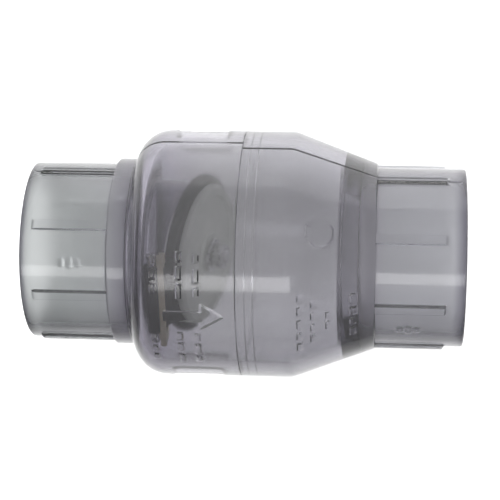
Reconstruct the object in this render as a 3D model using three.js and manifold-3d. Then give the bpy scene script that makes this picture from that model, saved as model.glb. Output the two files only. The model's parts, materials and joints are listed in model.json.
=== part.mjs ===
// Swing check valve with a clear moulded body, for 1 1/2 inch pipe cemented into both ends.
// Millimetres. +X is the flow direction and +Z is up as installed, with the hinge on top.
// The origin is on the flow axis, midway between the two socket rims.
import * as THREE from "three";
import { mergeVertices } from "three/addons/utils/BufferGeometryUtils.js";
import Module from "manifold-3d";

const wasm = await Module();
wasm.setup();

// ---- Driving dimensions ----

const GAP = 0.3; // clearance between neighbouring pieces
const SIDES = 64; // facets round a large turned shape
const SMALL_SIDES = 24; // facets round a pin, bolt or hole
const HEXAGON = 6;
const MERGE_DISTANCE = 1e-4;
const OVERRUN = 1; // how far a joined piece goes into its neighbour, and a cutter goes past it

// Pipe sockets, for pipe of 48.26 mm outside diameter
const HALF_LENGTH = 70.24; // origin to a socket rim
const SOCKET_RADIUS = 28.9;
const SOCKET_MOUTH_RADIUS = 24.28;
const SOCKET_END_RADIUS = 24.05;
const SOCKET_DEPTH = 34.93;
const RIM_CHAMFER = 0.8;
const FLOW_RADIUS = 20.45; // the bore of the pipe itself

// Body shell
const BODY_RADIUS = 40.2;
const WALL = 4.7;
const SEAM_X = -0.7; // where the two halves meet
const LAP_LENGTH = 5.1; // how far the inlet half's spigot goes into the outlet half
const LAP_RADIUS = 37.9;
const COLLAR_START_X = -42.4;
const COLLAR_END_X = -37.2;
const COLLAR_RADIUS = 30.6;
const SHOULDER_X = -25.5; // where the bell's rounded shoulder becomes a cylinder
const SHOULDER_ROUND = 10.3;
const SHOULDER_START_ANGLE = 176; // where the collar's top meets the round shoulder
const SHOULDER_STEPS = 7;
const INNER_SHOULDER_STEPS = 5;
const CONE_START_X = 15.5;
const CONE_END_X = 41.9;
const CONE_END_RADIUS = 30.3;
const OUTLET_STOP_THICKNESS = 5.9;

// Ribs on the sockets
const RIB_COUNT = 8;
const RIB_WIDTH = 3;
const RIB_HEIGHT = 1.2;
const RIB_ROOT_DEPTH = 1.5; // how far a rib's block goes below the socket's surface
const INLET_RIB = { startX: -66.2, endX: COLLAR_START_X + OVERRUN };
const OUTLET_RIB = { startX: CONE_END_X - OVERRUN, endX: 64 };
const OUTLET_TURN = -5; // degrees that the outlet half sits round from the inlet half, from +Z towards +Y

// Two recessed pads on the bell, opposite each other
const PAD_ANGLES = [119.5, -60.5]; // degrees from +Z towards +Y
const PAD = { startX: -23.2, endX: -6.5, halfWidth: 8.5, corner: 2.5, cornerSteps: 4, floorRadius: 37.1 };

// Round gate pad on the outlet cone
const GATE_PAD = { x: 25, angle: 40.5, radius: 5, height: 0.5, depth: 2 };

// Raised flow arrow on top of the bell
const ARROW = { tailX: -23, tipX: -4.5, headLength: 7, headHalfWidth: 4.5, shaftHalfWidth: 1.8, height: 0.3 };

// Seat nozzle and flapper. The flapper is drawn flat, then turned by SEAT_TILT about the Y axis.
const SEAT_TILT = 15.5; // degrees that the seat's top leans upstream
const SEAT_OUTER_RADIUS = 23.6;
const NOZZLE_WALL_X = -31.1; // downstream face of the wall behind the chamber
const FLAPPER_CENTRE_X = -16.6; // middle of the rubber disc when closed
const SEAL_RADIUS = 26;
const SEAL_THICKNESS = 3.3;
const PLATE_RADIUS = 23;
const PLATE_THICKNESS = 2.7;
const PLATE_EDGE_THICKNESS = 1.8;
const BACKING_RADIUS = 18;
const BACKING_THICKNESS = 2.5;
const BOLT_RADIUS = 2.2;
const BOLT_HEAD = { radius: 4.6, thickness: 2.5, edge: 1.3 };
const WASHER = { radius: 5.4, thickness: 1 };
const NUT = { acrossCorners: 9.2, thickness: 3.5 };
const BOLT_END_BEYOND_NUT = 1;

// Hinge
const PIN_X = -27.7;
const PIN_Z = 28.5;
const PIN_RADIUS = 1.25;
const PIN_LENGTH = 30;
const ROD_CHAMFER = 0.3; // on the ends of the pin and the bolt
const BARREL_RADIUS = 2.9;
const BARREL_HALF_WIDTH = 11;
const NECK_HALF_THICKNESS = 1.2;
const NECK_ROOT_Z = 25.2; // height of the bend between the disc and the neck, in the flapper's own frame
const LUG_INNER_Y = 11.4;
const LUG_THICKNESS = 3.1;
const LUG_FACE_X = -25.6;
const LUG_ROOT_Z = 19.5;
const LUG_TOP_Z = 34.8;
const KEEPER = { thickness: 1.9, bottomZ: 26, archTopZ: 31, topZ: 32 };

// ---- Geometry helpers ----

const radians = THREE.MathUtils.degToRad;

// A closed geometry as a solid that can be joined and cut.
function solid(geometry) {
  const bare = geometry.clone();
  bare.deleteAttribute("normal");
  bare.deleteAttribute("uv");
  const merged = mergeVertices(bare, MERGE_DISTANCE);
  return new wasm.Manifold(
    new wasm.Mesh({
      numProp: 3,
      vertProperties: merged.attributes.position.array,
      triVerts: new Uint32Array(merged.index.array),
    }),
  );
}

function geometryOf(manifold) {
  const mesh = manifold.getMesh();
  const geometry = new THREE.BufferGeometry();
  geometry.setAttribute("position", new THREE.BufferAttribute(mesh.vertProperties, 3));
  geometry.setIndex(new THREE.BufferAttribute(mesh.triVerts, 1));
  geometry.computeVertexNormals();
  return geometry;
}

// Points [x, radius] turned about the X axis. The outer side runs towards +X, and the profile closes itself.
function turned(profile, sides = SIDES) {
  const points = [...profile, profile[0]].map(([x, radius]) => new THREE.Vector2(radius, x));
  return solid(new THREE.LatheGeometry(points, sides).rotateZ(-Math.PI / 2));
}

// A plain ring or rod about the X axis.
function turnedRing(startX, endX, innerRadius, outerRadius, sides = SIDES) {
  const outside = [[startX, outerRadius], [endX, outerRadius]];
  return turned([...outside, [endX, innerRadius], [startX, innerRadius]], sides);
}

function turnedRod(startX, endX, radius, sides = SIDES) {
  return turned([[startX, 0], [startX, radius], [endX, radius], [endX, 0]], sides);
}

// Points [x, radius] along a round corner. Angles are in degrees from +X towards larger radius.
function roundCorner(centreX, centreRadius, radius, startAngle, endAngle, steps) {
  return Array.from({ length: steps + 1 }, (_, i) => {
    const angle = radians(startAngle + ((endAngle - startAngle) * i) / steps);
    return [centreX + radius * Math.cos(angle), centreRadius + radius * Math.sin(angle)];
  });
}

// An outline drawn in X and Z, as a slab centred on Y = 0.
function slab(shape, thickness) {
  return new THREE.ExtrudeGeometry(shape, { depth: thickness, bevelEnabled: false })
    .rotateX(Math.PI / 2)
    .translate(0, thickness / 2, 0);
}

function box(minX, maxX, minY, maxY, minZ, maxZ) {
  return new THREE.BoxGeometry(maxX - minX, maxY - minY, maxZ - minZ).translate(
    (minX + maxX) / 2,
    (minY + maxY) / 2,
    (minZ + maxZ) / 2,
  );
}

// Swings something made on the +Z side round the flow axis, by an angle from +Z towards +Y.
function swing(geometry, degrees) {
  return geometry.rotateX(-radians(degrees));
}

function shapeOf(points) {
  return new THREE.Shape(points.map(([x, y]) => new THREE.Vector2(x, y)));
}

function joined(parts) {
  return parts.reduce((whole, part) => whole.add(part));
}

// Leans a piece drawn about the X axis so that its top moves upstream, and puts its centre on the flapper's.
function leanOnSeat(geometry) {
  return geometry.rotateY(-radians(SEAT_TILT)).translate(FLAPPER_CENTRE_X, 0, 0);
}

function material(colour, roughness, metalness, opacity = 1) {
  return new THREE.MeshStandardMaterial({
    color: colour,
    roughness,
    metalness,
    opacity,
    transparent: opacity < 1,
  });
}

// ---- Body halves ----

const socketEndX = HALF_LENGTH - SOCKET_DEPTH;
const chamberRadius = BODY_RADIUS - WALL;
const coneSlope = (CONE_END_RADIUS - BODY_RADIUS) / (CONE_END_X - CONE_START_X);

// A socket's rim and bore, from its outer edge at the mouth to the pipe stop. side is -1 or 1.
function socketBore(side) {
  return [
    [side * (HALF_LENGTH - RIM_CHAMFER), SOCKET_RADIUS],
    [side * HALF_LENGTH, SOCKET_RADIUS - RIM_CHAMFER],
    [side * HALF_LENGTH, SOCKET_MOUTH_RADIUS + RIM_CHAMFER],
    [side * (HALF_LENGTH - RIM_CHAMFER), SOCKET_MOUTH_RADIUS],
    [side * socketEndX, SOCKET_END_RADIUS],
    [side * socketEndX, FLOW_RADIUS],
  ];
}

function socketRibs({ startX, endX }, turn) {
  return Array.from({ length: RIB_COUNT }, (_, i) => {
    const rib = box(
      startX,
      endX,
      -RIB_WIDTH / 2,
      RIB_WIDTH / 2,
      SOCKET_RADIUS - RIB_ROOT_DEPTH,
      SOCKET_RADIUS + RIB_HEIGHT,
    );
    return solid(swing(rib, turn + (i * 360) / RIB_COUNT));
  });
}

function recessedPad(angle) {
  const { startX, endX, halfWidth, corner, cornerSteps, floorRadius } = PAD;
  const outline = new THREE.Shape();
  outline.moveTo(startX + corner, -halfWidth);
  outline.lineTo(endX - corner, -halfWidth);
  outline.absarc(endX - corner, corner - halfWidth, corner, -Math.PI / 2, 0);
  outline.lineTo(endX, halfWidth - corner);
  outline.absarc(endX - corner, halfWidth - corner, corner, 0, Math.PI / 2);
  outline.lineTo(startX + corner, halfWidth);
  outline.absarc(startX + corner, halfWidth - corner, corner, Math.PI / 2, Math.PI);
  outline.lineTo(startX, corner - halfWidth);
  outline.absarc(startX + corner, corner - halfWidth, corner, Math.PI, 1.5 * Math.PI);
  const cutter = new THREE.ExtrudeGeometry(outline, {
    depth: BODY_RADIUS - floorRadius + OVERRUN,
    bevelEnabled: false,
    curveSegments: cornerSteps,
  }).translate(0, 0, floorRadius);
  return solid(swing(cutter, angle));
}

// The arrow's outline as a tall prism, cut to a thin layer that follows the bell.
function flowArrow() {
  const { tailX, tipX, headLength, headHalfWidth, shaftHalfWidth, height } = ARROW;
  const headX = tipX - headLength;
  const half = [
    [tailX, shaftHalfWidth],
    [headX, shaftHalfWidth],
    [headX, headHalfWidth],
  ];
  const mirrored = half.map(([x, y]) => [x, -y]);
  const outline = shapeOf([...mirrored, [tipX, 0], ...half.reverse()]);
  const prism = new THREE.ExtrudeGeometry(outline, { depth: BODY_RADIUS + OVERRUN, bevelEnabled: false });
  const layer = turnedRing(tailX - OVERRUN, tipX + OVERRUN, BODY_RADIUS - OVERRUN, BODY_RADIUS + height);
  return solid(prism).intersect(layer);
}

// Two upright ears that hold the hinge pin, each with a slot open towards the outlet.
function hingeLugs() {
  const slotRadius = PIN_RADIUS + GAP;
  const slotWidth = 2 * BODY_RADIUS;
  const slotEnd = new THREE.CylinderGeometry(slotRadius, slotRadius, slotWidth, SMALL_SIDES);
  const slotMouth = new THREE.BoxGeometry(LUG_FACE_X + OVERRUN - PIN_X, slotWidth, 2 * slotRadius);
  const slot = joined([
    solid(slotEnd.translate(PIN_X, 0, PIN_Z)),
    solid(slotMouth.translate((PIN_X + LUG_FACE_X + OVERRUN) / 2, 0, PIN_Z)),
  ]);
  const outline = shapeOf([
    [NOZZLE_WALL_X - OVERRUN / 2, LUG_ROOT_Z],
    [LUG_FACE_X - 2 * GAP, LUG_ROOT_Z],
    [LUG_FACE_X, KEEPER.bottomZ - GAP],
    [LUG_FACE_X, LUG_TOP_Z],
    [NOZZLE_WALL_X - OVERRUN / 2, LUG_TOP_Z],
  ]);
  const middle = LUG_INNER_Y + LUG_THICKNESS / 2;
  return [-middle, middle].map((y) => solid(slab(outline, LUG_THICKNESS).translate(0, y, 0)).subtract(slot));
}

function inletBody() {
  const shoulderRadius = BODY_RADIUS - SHOULDER_ROUND;
  const shell = turned([
    ...socketBore(-1).slice(0, 4).reverse(),
    [COLLAR_START_X, SOCKET_RADIUS],
    [COLLAR_START_X, COLLAR_RADIUS],
    [COLLAR_END_X, COLLAR_RADIUS],
    ...roundCorner(SHOULDER_X, shoulderRadius, SHOULDER_ROUND, SHOULDER_START_ANGLE, 90, SHOULDER_STEPS),
    [SEAM_X - GAP / 2, BODY_RADIUS],
    [SEAM_X - GAP / 2, LAP_RADIUS - GAP / 2],
    [SEAM_X + LAP_LENGTH - GAP / 2, LAP_RADIUS - GAP / 2],
    [SEAM_X + LAP_LENGTH - GAP / 2, chamberRadius],
    ...roundCorner(SHOULDER_X, shoulderRadius, SHOULDER_ROUND - WALL, 90, 180, INNER_SHOULDER_STEPS),
    [NOZZLE_WALL_X, SEAT_OUTER_RADIUS],
    [0, SEAT_OUTER_RADIUS],
    [0, FLOW_RADIUS],
    ...socketBore(-1).slice(4).reverse(),
  ]);
  const seatFace = -SEAL_THICKNESS / 2 - GAP;
  const aboveSeat = solid(
    leanOnSeat(box(seatFace, HALF_LENGTH, -BODY_RADIUS, BODY_RADIUS, -BODY_RADIUS, BODY_RADIUS)),
  );
  const insideSeat = turnedRod(NOZZLE_WALL_X, OVERRUN, SEAT_OUTER_RADIUS + OVERRUN / 2);
  const cutShell = [...PAD_ANGLES.map(recessedPad), aboveSeat.intersect(insideSeat)].reduce(
    (left, cutter) => left.subtract(cutter),
    shell,
  );
  return joined([
    cutShell,
    ...socketRibs(INLET_RIB, 0),
    ...hingeLugs(),
    flowArrow(),
  ]);
}

function gatePad() {
  const { x, angle, radius, height, depth } = GATE_PAD;
  const surfaceRadius = BODY_RADIUS + coneSlope * (x - CONE_START_X);
  const pad = new THREE.CylinderGeometry(radius, radius, height + depth, SMALL_SIDES)
    .rotateX(Math.PI / 2)
    .translate(0, 0, (height - depth) / 2)
    .rotateY(-Math.atan(coneSlope))
    .translate(x, 0, surfaceRadius);
  return solid(swing(pad, angle));
}

function outletBody() {
  const wallAlongRadius = WALL * Math.hypot(1, coneSlope);
  const innerCone = (x) => BODY_RADIUS - wallAlongRadius + coneSlope * (x - CONE_START_X);
  const innerConeStartX = CONE_START_X + (chamberRadius - BODY_RADIUS + wallAlongRadius) / coneSlope;
  const stopX = socketEndX - OUTLET_STOP_THICKNESS;
  const shell = turned([
    [SEAM_X + GAP / 2, LAP_RADIUS + GAP / 2],
    [SEAM_X + GAP / 2, BODY_RADIUS],
    [CONE_START_X, BODY_RADIUS],
    [CONE_END_X, CONE_END_RADIUS],
    [CONE_END_X, SOCKET_RADIUS],
    ...socketBore(1),
    [stopX, FLOW_RADIUS],
    [stopX, innerCone(stopX)],
    [innerConeStartX, chamberRadius],
    [SEAM_X + LAP_LENGTH + GAP / 2, chamberRadius],
    [SEAM_X + LAP_LENGTH + GAP / 2, LAP_RADIUS + GAP / 2],
  ]);
  return joined([shell, ...socketRibs(OUTLET_RIB, OUTLET_TURN), gatePad()]);
}

// ---- Hinge ----

function hingePin() {
  const end = PIN_LENGTH / 2;
  const rod = turned(
    [
      [-end, 0],
      [-end, PIN_RADIUS - ROD_CHAMFER],
      [ROD_CHAMFER - end, PIN_RADIUS],
      [end - ROD_CHAMFER, PIN_RADIUS],
      [end, PIN_RADIUS - ROD_CHAMFER],
      [end, 0],
    ],
    SMALL_SIDES,
  );
  return geometryOf(rod).rotateZ(Math.PI / 2);
}

// A bridge that closes the slots in both lugs and holds the pin back in them.
function hingeKeeper() {
  const faceX = LUG_FACE_X + GAP;
  const outerX = faceX + KEEPER.thickness;
  const outerY = LUG_INNER_Y + LUG_THICKNESS;
  const noseX = PIN_X + PIN_RADIUS + GAP;
  const noseHalf = PIN_RADIUS;
  const bar = solid(box(faceX, outerX, -outerY, outerY, KEEPER.archTopZ - OVERRUN, KEEPER.topZ));
  const archX = [faceX - OVERRUN, outerX + OVERRUN];
  const arch = solid(box(...archX, -LUG_INNER_Y, LUG_INNER_Y, KEEPER.bottomZ, KEEPER.archTopZ));
  const feet = [-1, 1].flatMap((side) => {
    const [minY, maxY] = [side * LUG_INNER_Y, side * outerY].sort((a, b) => a - b);
    return [
      solid(box(faceX, outerX, minY, maxY, KEEPER.bottomZ, KEEPER.topZ)),
      solid(box(noseX, outerX, minY + GAP, maxY - GAP, PIN_Z - noseHalf, PIN_Z + noseHalf)),
    ];
  });
  return geometryOf(joined([bar, ...feet]).subtract(arch));
}

// ---- Flapper, drawn about the X axis with the rubber disc's middle at X = 0 ----

const halfSeal = SEAL_THICKNESS / 2;
const backingFaceX = -halfSeal - GAP;
const plateFaceX = halfSeal + GAP;
const washerFaceX = plateFaceX + PLATE_THICKNESS + GAP;
const nutFaceX = washerFaceX + WASHER.thickness + GAP;
const boltHeadFaceX = backingFaceX - BACKING_THICKNESS - GAP;
const holeRadius = BOLT_RADIUS + GAP;

// The hinge pin's place in the flapper's own frame.
function pinInFlapper() {
  const place = new THREE.Vector3(PIN_X - FLAPPER_CENTRE_X, 0, PIN_Z);
  return place.applyAxisAngle(new THREE.Vector3(0, 1, 0), radians(SEAT_TILT));
}

// Rubber disc with a neck that bends upstream to a barrel round the pin.
function flapperSeal() {
  const pin = pinInFlapper();
  const neckLength = Math.hypot(pin.x, pin.z - NECK_ROOT_Z);
  const neckLean = Math.atan2(pin.x, pin.z - NECK_ROOT_Z);
  const neckSection = [-NECK_HALF_THICKNESS, NECK_HALF_THICKNESS, -BARREL_HALF_WIDTH, BARREL_HALF_WIDTH];
  const neck = box(...neckSection, -OVERRUN, neckLength).rotateY(neckLean).translate(0, 0, NECK_ROOT_Z);
  const tab = box(-halfSeal, halfSeal, -BARREL_HALF_WIDTH, BARREL_HALF_WIDTH, BACKING_RADIUS, NECK_ROOT_Z);
  const width = 2 * BARREL_HALF_WIDTH;
  const boreRadius = PIN_RADIUS + GAP;
  const barrel = new THREE.CylinderGeometry(BARREL_RADIUS, BARREL_RADIUS, width, SMALL_SIDES);
  const bore = new THREE.CylinderGeometry(boreRadius, boreRadius, width + 2 * OVERRUN, SMALL_SIDES);
  return joined([
    turnedRing(-halfSeal, halfSeal, holeRadius, SEAL_RADIUS),
    solid(tab),
    solid(neck),
    solid(barrel.translate(pin.x, 0, pin.z)),
  ]).subtract(solid(bore.translate(pin.x, 0, pin.z)));
}

function flapperPlate() {
  const backX = plateFaceX + PLATE_THICKNESS;
  return turned([
    [plateFaceX, PLATE_RADIUS],
    [plateFaceX + PLATE_EDGE_THICKNESS, PLATE_RADIUS],
    [backX, PLATE_RADIUS - (PLATE_THICKNESS - PLATE_EDGE_THICKNESS)],
    [backX, holeRadius],
    [plateFaceX, holeRadius],
  ]);
}

function flapperBacking() {
  return turnedRing(backingFaceX - BACKING_THICKNESS, backingFaceX, holeRadius, BACKING_RADIUS);
}

function flapperBolt() {
  const { radius, thickness, edge } = BOLT_HEAD;
  const endX = nutFaceX + NUT.thickness + BOLT_END_BEYOND_NUT;
  return turned(
    [
      [boltHeadFaceX - thickness, 0],
      [boltHeadFaceX - thickness, radius - edge],
      [boltHeadFaceX - thickness + edge, radius],
      [boltHeadFaceX, radius],
      [boltHeadFaceX, BOLT_RADIUS],
      [endX - ROD_CHAMFER, BOLT_RADIUS],
      [endX, BOLT_RADIUS - ROD_CHAMFER],
      [endX, 0],
    ],
    SMALL_SIDES,
  );
}

function flapperWasher() {
  return turnedRing(washerFaceX, washerFaceX + WASHER.thickness, holeRadius, WASHER.radius, SMALL_SIDES);
}

function flapperNut() {
  const blank = turnedRod(nutFaceX, nutFaceX + NUT.thickness, NUT.acrossCorners / 2, HEXAGON);
  const hole = turnedRod(nutFaceX - OVERRUN, nutFaceX + NUT.thickness + OVERRUN, holeRadius, SMALL_SIDES);
  return blank.subtract(hole);
}

// ---- Materials and assembly ----

const clearPvc = material(0xa3a3ad, 0.15, 0, 0.4);
const blackRubber = material(0x17171a, 0.75, 0);
const palePlastic = material(0xb9beb4, 0.45, 0);
const creamPlastic = material(0xd9cfa8, 0.45, 0);
const stainless = material(0xb8babd, 0.3, 1);

const valve = new THREE.Group();
const flapper = new THREE.Group();
flapper.position.x = FLAPPER_CENTRE_X;
flapper.rotation.y = -radians(SEAT_TILT);
valve.add(flapper);

function place(group, name, geometry, look) {
  const mesh = new THREE.Mesh(geometry, look);
  mesh.name = name;
  group.add(mesh);
  return mesh;
}

place(valve, "inlet_body", geometryOf(inletBody()), clearPvc.clone());
place(valve, "outlet_body", geometryOf(outletBody()), clearPvc.clone());
place(valve, "hinge_pin", hingePin(), stainless.clone()).position.set(PIN_X, 0, PIN_Z);
place(valve, "hinge_keeper", hingeKeeper(), creamPlastic.clone());
place(flapper, "flapper_seal", geometryOf(flapperSeal()), blackRubber.clone());
place(flapper, "flapper_plate", geometryOf(flapperPlate()), palePlastic.clone());
place(flapper, "flapper_backing", geometryOf(flapperBacking()), palePlastic.clone());
place(flapper, "flapper_bolt", geometryOf(flapperBolt()), stainless.clone());
place(flapper, "flapper_washer", geometryOf(flapperWasher()), stainless.clone());
place(flapper, "flapper_nut", geometryOf(flapperNut()), stainless.clone());

export default valve;
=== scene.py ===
"""Looks of a clear swing check valve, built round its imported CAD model. Metres, +X along the flow, +Z up."""
import json
import math

import bmesh
import bpy
from mathutils import Matrix, Vector


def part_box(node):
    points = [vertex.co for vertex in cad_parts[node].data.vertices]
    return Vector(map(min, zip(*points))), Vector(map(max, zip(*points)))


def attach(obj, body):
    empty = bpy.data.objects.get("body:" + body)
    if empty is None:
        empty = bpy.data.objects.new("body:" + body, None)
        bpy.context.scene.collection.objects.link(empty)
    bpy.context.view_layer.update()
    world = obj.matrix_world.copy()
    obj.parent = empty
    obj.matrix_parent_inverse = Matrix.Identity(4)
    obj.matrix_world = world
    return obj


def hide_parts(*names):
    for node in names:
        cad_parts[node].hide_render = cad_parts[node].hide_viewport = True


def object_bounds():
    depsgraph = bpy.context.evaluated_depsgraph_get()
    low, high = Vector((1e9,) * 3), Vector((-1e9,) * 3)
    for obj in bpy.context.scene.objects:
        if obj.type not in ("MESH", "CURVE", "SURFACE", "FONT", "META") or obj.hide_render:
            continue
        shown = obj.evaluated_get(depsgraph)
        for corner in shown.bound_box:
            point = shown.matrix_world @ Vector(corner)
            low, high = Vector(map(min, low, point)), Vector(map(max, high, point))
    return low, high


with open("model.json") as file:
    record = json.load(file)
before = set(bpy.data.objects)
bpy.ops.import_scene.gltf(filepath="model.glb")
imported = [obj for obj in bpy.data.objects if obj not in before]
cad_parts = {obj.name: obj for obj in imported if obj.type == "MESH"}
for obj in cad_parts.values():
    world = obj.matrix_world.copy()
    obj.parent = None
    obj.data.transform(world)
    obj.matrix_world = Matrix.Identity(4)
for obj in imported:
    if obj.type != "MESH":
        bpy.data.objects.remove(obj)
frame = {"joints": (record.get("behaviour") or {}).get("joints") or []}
cad_low, cad_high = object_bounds()

MM = 0.001
TURN = 2 * math.pi

# ---- Sizes taken from the CAD model ----

_, inlet_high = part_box("inlet_body")
_, outlet_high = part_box("outlet_body")
pin_low, pin_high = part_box("hinge_pin")
keeper_low, keeper_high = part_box("hinge_keeper")
hinge = frame["joints"][0]

HALF_LENGTH = outlet_high.x
BODY_RADIUS = inlet_high.y
MARK_HEIGHT = inlet_high.z - BODY_RADIUS
PIN = Vector(hinge["pos_m"])
PIN_RADIUS = (pin_high.x - pin_low.x) / 2
PIN_HALF_LENGTH = (pin_high.y - pin_low.y) / 2

# ---- Driving dimensions ----

SOCKET_RADIUS = 28.9 * MM
SOCKET_MOUTH_RADIUS = 24.28 * MM
SOCKET_END_RADIUS = 24.05 * MM
SOCKET_END_X = HALF_LENGTH - 34.93 * MM
FLOW_RADIUS = 20.45 * MM
RIM_ROUND = 0.7 * MM
MOUTH_CHAMFER = 0.8 * MM  # how much a socket's mouth widens at its rim
MOUTH_CHAMFER_DEPTH = 1.2 * MM
BORE_END_ROUND = 0.4 * MM
STOP_ROUND = 0.3 * MM
SEAM_ROUND = 0.25 * MM
WALL = 4.7 * MM
CHAMBER_RADIUS = BODY_RADIUS - WALL
SEAM_X = -0.7 * MM
SEAM_GAP = 0.06 * MM
COLLAR_START_X = -42.4 * MM
COLLAR_RADIUS = 30.6 * MM
COLLAR_ROUND = 0.5 * MM
SHOULDER_X = -25.5 * MM
SHOULDER_ROUND = 10.3 * MM
CONE_START_X = 15.5 * MM
CONE_END_X = 41.9 * MM
CONE_END_RADIUS = 30.3 * MM
CONE_START_ROUND = 4 * MM
CONE_ROUND_SHIFT = 0.18  # about the tangent of half the cone's lean
WELD_BEAD = 0.2 * MM
WELD_BEAD_DEPTHS = (5.1 * MM, 2.5 * MM)  # how far past the seam the two beads lie inside
OUTLET_STOP_X = SOCKET_END_X - 5.9 * MM
NOZZLE_WALL_X = -31.1 * MM
SEAT_OUTER_RADIUS = 23.6 * MM
SEAT_TILT = math.radians(15.5)
FLAPPER_X = -16.6 * MM
GAP = 0.3 * MM

RIB_COUNT = 8
RIB_WIDTH = 3 * MM
RIB_HEIGHT = 1.2 * MM
EDGE = 0.45 * MM  # how far a moulded step takes to rise
OUTLET_TURN = math.radians(-5)
INLET_RIBS = {"start": -66.2 * MM, "end": COLLAR_START_X + 1 * MM, "turn": 0.0}
OUTLET_RIBS = {"start": CONE_END_X - 1 * MM, "end": 64 * MM, "turn": OUTLET_TURN}

PARTING_DEPTH = 0.3 * MM
PARTING_HALF_WIDTH = 0.3 * MM
DASH_HEIGHT = 0.5 * MM
DASH_EDGE = 0.3 * MM
DASH_HALF_WIDTH = 0.75 * MM
DASH_CORNER = 0.4 * MM
DASH_SPACING = 1.6  # millimetres between the ends of two dashes
DASH_REACH = 2 * MM  # further off than this along X, a dash raises nothing
SIZE_DASH_HEIGHT = 0.3 * MM

ARROW_TIP_X = -4.5 * MM
ARROW_LENGTH = 18.5 * MM
ARROW_HEAD_LENGTH = 7 * MM
ARROW_HEAD_HALF_WIDTH = 4.5 * MM
ARROW_SHAFT_HALF_WIDTH = 1.8 * MM
ARROW_EDGE = 0.35 * MM

GATE_X = 25 * MM
GATE_ANGLE = math.radians(40.5)
GATE_RADIUS = 5 * MM
GATE_DISC_HEIGHT = 0.2 * MM
GATE_RING_HEIGHT = 0.3 * MM
GATE_RING_INSET = 0.5 * MM
GATE_EDGE = 0.3 * MM

PAD_ANGLES = (math.radians(119.5), math.radians(-60.5))
PAD_MIDDLE_X = -14.85 * MM
PAD_HALF_LENGTH = 8.35 * MM
PAD_HALF_WIDTH = 8.5 * MM
PAD_CORNER = 2.5 * MM
PAD_FLOOR = 37.1 * MM
PAD_REACH = math.radians(25)  # further round than this from its middle, a pad sinks nothing

EVEN_ANGLES = 240  # rows of points round a body half, before the finer ones
FINE_DEGREES = 0.5
CLOSEST_ANGLE = math.radians(0.12)

# The clear plastic's colour along the flow, as (x in millimetres, colour): its own tone, greener in the
# sockets, more violet in the body and palest over the outlet's cone, with painted shade darkening both socket
# rims and mouths and the thick shoulder.
PVC_TINTS_AND_PAINTED_SHADE = [
    # painted shade: the inlet socket's dark rim and its darkened mouth, out to -55 mm
    (-70.2, (0.38, 0.37, 0.43)),
    (-68.6, (0.64, 0.67, 0.65)),
    (-60, (0.73, 0.76, 0.74)),
    (-55, (0.86, 0.89, 0.87)),
    (-44, (0.91, 0.93, 0.92)),
    # painted shade over the thick shoulder, darkest at -34 mm
    (-40, (0.79, 0.78, 0.82)),
    (-34, (0.56, 0.54, 0.61)),
    (-26, (0.76, 0.75, 0.79)),
    (-10, (0.87, 0.87, 0.88)),
    (28, (0.87, 0.87, 0.89)),
    (34, (0.97, 0.96, 0.99)),
    (40, (0.98, 0.97, 1.00)),
    (45, (0.95, 0.96, 0.97)),
    # painted shade: the outlet socket's darkened mouth and dark rim
    (66, (0.88, 0.89, 0.90)),
    (69.5, (0.48, 0.47, 0.53)),
]
PVC_DENSITY = 165
PVC_ABSORPTION = (0.50, 0.49, 0.535, 1)
MATTE_BORE = 0.3  # roughness added inside the sockets

FLOOR_HALF_SIZE = 3.0
# painted light: the floor glows under the valve, fading out between these distances from its middle
FLOOR_GLOW = 0.5
GLOW_FADE_START = 0.08  # distances from the middle, in metres
GLOW_FADE_END = 0.28
KEY_ANGLE = math.radians(27.8)  # how far the key light stands off the camera's line

# Where the camera stands, as the turn of the valve's axis in its view and the place of the seam's middle.
VIEW_YAW = math.radians(4.904)
VIEW_ROLL = math.radians(1.189)
VALVE_ROLL = math.radians(29.5)
SEAM_IN_VIEW = Vector((-1.185, 1.106, 549.016)) * MM  # right, down and away
LENS = 120.23
SENSOR_WIDTH = 36

SEAL_RADIUS = 26 * MM
SEAL_HALF = 1.65 * MM
SEAL_EDGE_ROUND = 1.1 * MM
SEAL_LIP_RADIUS = 22 * MM
SEAL_LIP_HEIGHT = 0.25 * MM
NECK_ROOT_Z = 25.2 * MM  # height of the neck's bend, in the flapper's own frame
NECK_FOOT_Z = 19 * MM  # where the neck starts inside the disc
NECK_HALF_THICKNESS = 1.25 * MM
PLATE_RADIUS = 23 * MM
PLATE_THICKNESS = 2.7 * MM
DISH_DEPTH = 0.9 * MM
HUB_RADIUS = 7 * MM
BACKING_RADIUS = 18 * MM
BACKING_THICKNESS = 2.5 * MM
BOLT_RADIUS = 2.2 * MM
BOLT_HOLE = BOLT_RADIUS + GAP
BOLT_HEAD_THICKNESS = 2.5 * MM
BOLT_HEAD_ROUND = 1.9 * MM
BOLT_HEAD_FLAT = 2.4 * MM
BOLT_END_BEYOND_NUT = 1 * MM
THREAD_PITCH = 0.7 * MM
THREAD_DEPTH = 0.28 * MM
KEY_WIDTH = 2.6 * MM  # across the flats of the recess in the bolt's head
KEY_DEPTH = 0.8 * MM
WASHER_RADIUS = 5.4 * MM
WASHER_THICKNESS = 1 * MM
NUT_RADIUS = 4.6 * MM
NUT_THICKNESS = 3.5 * MM
BARREL_RADIUS = 2.9 * MM
BARREL_HALF_WIDTH = 11 * MM
LUG_INNER_Y = 11.4 * MM
LUG_THICKNESS = 3.1 * MM
LUG_FACE_X = -25.6 * MM
KEEPER_ARCH_Z = 31 * MM
KEEPER_BEVEL = 0.25 * MM
NOSE_OVERLAP = 0.5 * MM
NOSE_BEVEL = 0.2 * MM


# ---- Geometry helpers ----

def eased(value):
    value = min(max(value, 0.0), 1.0)
    return value * value * (3 - 2 * value)


def within(distance, edge=EDGE):
    """1 well inside an outline and 0 outside, for a signed distance that is negative inside."""
    return 1 - eased(distance / edge + 0.5)


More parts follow.
